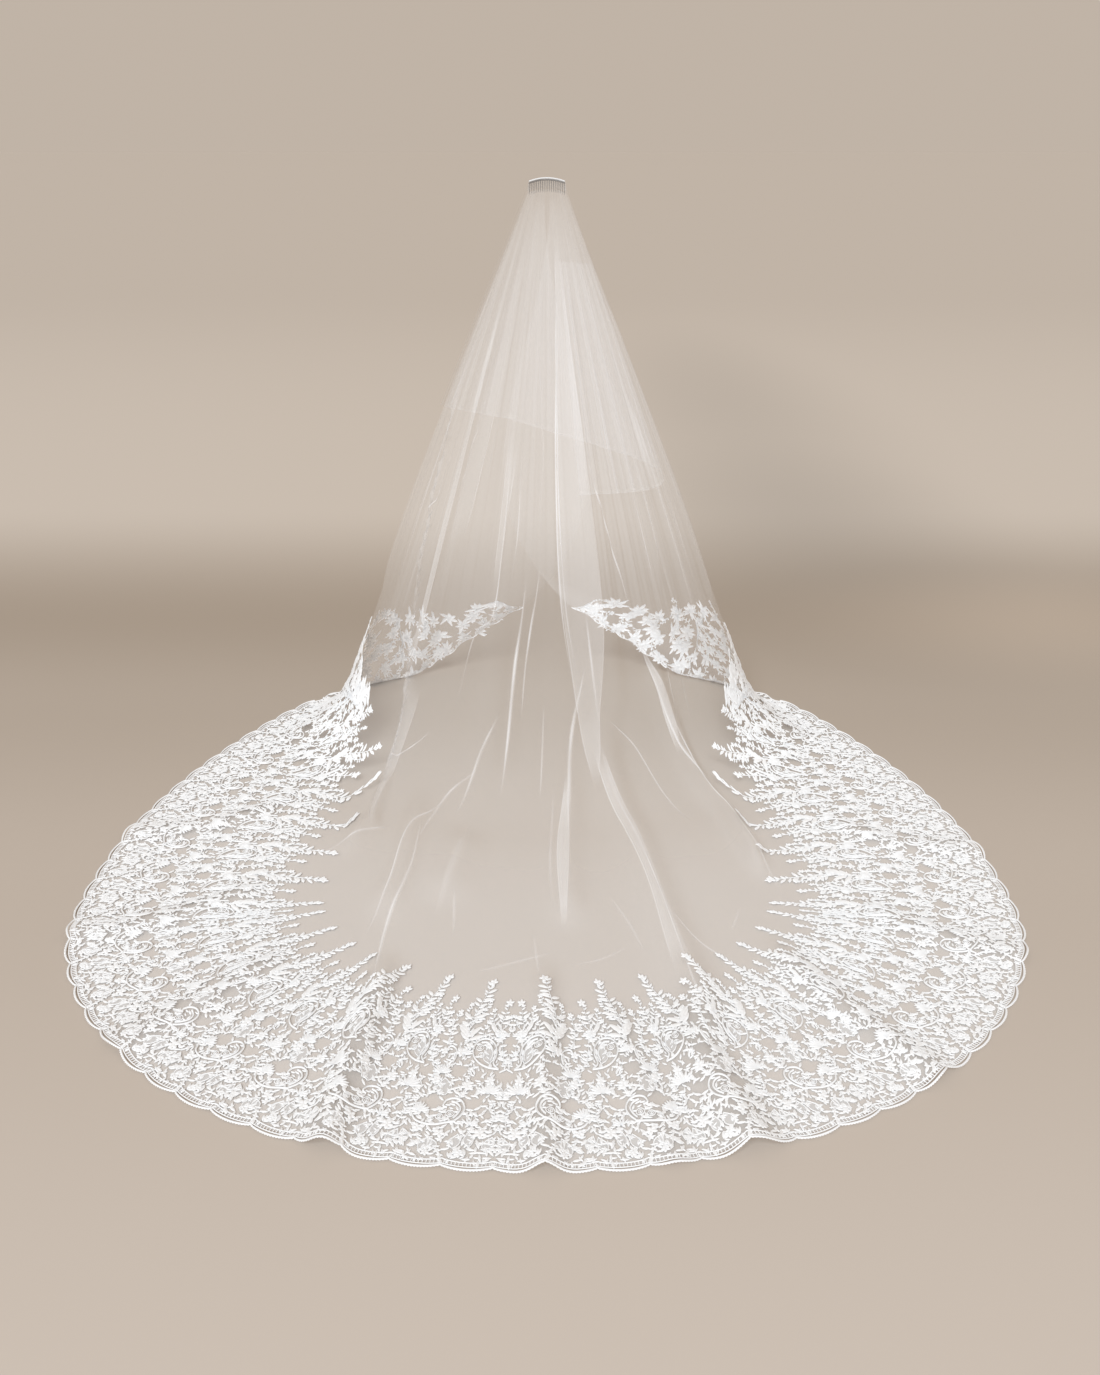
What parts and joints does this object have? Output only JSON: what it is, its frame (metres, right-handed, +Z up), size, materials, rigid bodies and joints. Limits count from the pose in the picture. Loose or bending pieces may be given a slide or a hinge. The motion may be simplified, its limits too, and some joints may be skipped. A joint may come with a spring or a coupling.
{
  "type": "two-tier wedding veil on a comb",
  "caption": "Long hanging veil of soft net gathered on a hair comb, with a short tier over the face and a floor train edged in wide scalloped lace.",
  "frame": {"origin": "middle of the comb's spine, where the wearer's hair holds the veil", "axes": "+Z up; -Y the way the train runs, behind the wearer; +X to the wearer's right"},
  "size_m": [2.347, 2.5781, 1.6735],
  "materials": {
    "net": "soft fine net, ivory white, see-through",
    "lace": "matte corded lace, off-white",
    "comb": "satin, grey, clear-looking",
    "binding": "satin thread over wire"
  },
  "bodies": {
    "root": {"comb": "comb", "comb_binding": "binding", "heading": "net", "long_fall_back_left": "net", "long_fall_back_right": "net", "long_fall_side_left": "net", "long_fall_side_right": "net", "long_fall_front_left": "net", "long_fall_front_right": "net", "train_net_back": "net", "train_net_side_left": "net", "train_net_side_right": "net", "train_net_front_left": "net", "train_net_front_right": "net", "lace_border_back": "lace", "lace_border_side_left": "lace", "lace_border_side_right": "lace", "lace_border_front_left": "lace", "lace_border_front_right": "lace", "short_tier": "net", "short_tier_return": "net"}
  },
  "joints": []
}
